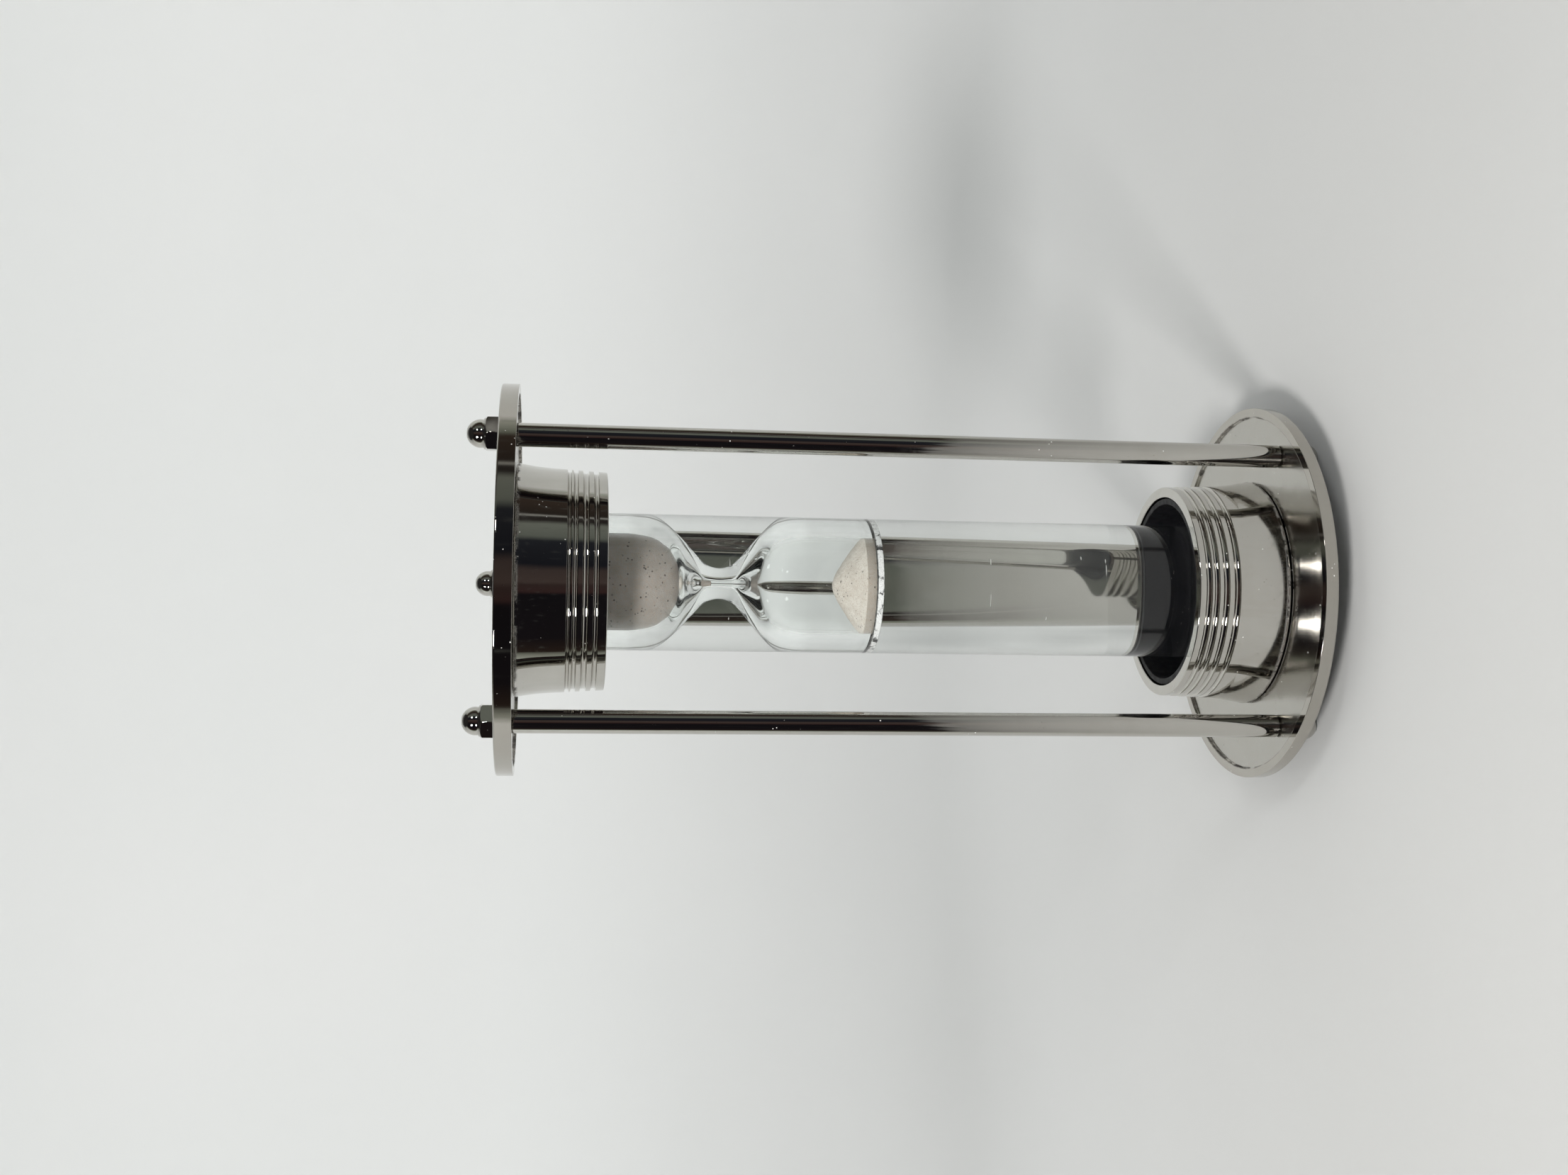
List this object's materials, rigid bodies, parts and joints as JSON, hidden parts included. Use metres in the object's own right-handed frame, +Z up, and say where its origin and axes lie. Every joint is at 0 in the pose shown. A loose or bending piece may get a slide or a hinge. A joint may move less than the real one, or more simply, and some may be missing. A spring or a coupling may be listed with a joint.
{
  "type": "floating hourglass",
  "caption": "Sand glass that floats in a liquid-filled clear tube, held in a rod-and-plate metal stand with turned collars and domed cap nuts.",
  "frame": {"origin": "on the stand's centre line, at the level of the surface that the three domed feet rest on", "axes": "+Z up along the tube and the rods; -Y is the front, +Y the side of the single back rod; +X to the right seen from the front"},
  "size_m": [0.1, 0.1, 0.2188],
  "materials": {
    "nickel_plate": "bright nickel plate, polished, with light wear",
    "nickel_collar": "bright nickel plate, turned, dust in the grooves",
    "nickel_rod": "bright nickel plate",
    "nickel_nut": "bright nickel plate",
    "screw_steel": "zinc bright",
    "black_seat": "matte black with dust",
    "black_rubber": "matte",
    "clear_tube": "clear, polished",
    "clear_glass": "clear, ground at the end discs",
    "sand": "fine pale sand with a few dark grains"
  },
  "bodies": {
    "stand": {"base_plate": "nickel_plate", "top_plate": "nickel_plate", "lower_collar": "nickel_collar", "upper_collar": "nickel_collar", "lower_collar_screw": "screw_steel", "upper_collar_screw": "screw_steel", "lower_seat": "black_seat", "upper_seat": "black_seat", "lower_plug": "black_rubber", "upper_plug": "black_rubber", "rod_left": "nickel_rod", "rod_right": "nickel_rod", "rod_back": "nickel_rod", "top_nut_left": "nickel_nut", "top_nut_right": "nickel_nut", "top_nut_back": "nickel_nut", "foot_nut_left": "nickel_nut", "foot_nut_right": "nickel_nut", "foot_nut_back": "nickel_nut", "tube": "clear_tube"},
    "float": {"hourglass_bulbs": "clear_glass", "hourglass_lower_disc": "clear_glass", "hourglass_upper_disc": "clear_glass", "upper_sand": "sand", "lower_sand": "sand"}
  },
  "joints": [
    {"name": "float_slide", "type": "slide", "parent": "stand", "child": "float", "axis": [0, 0, 1], "range_m": [-0.092, 0], "stiffness_N_per_m": 3, "springref_m": 0.25}
  ]
}
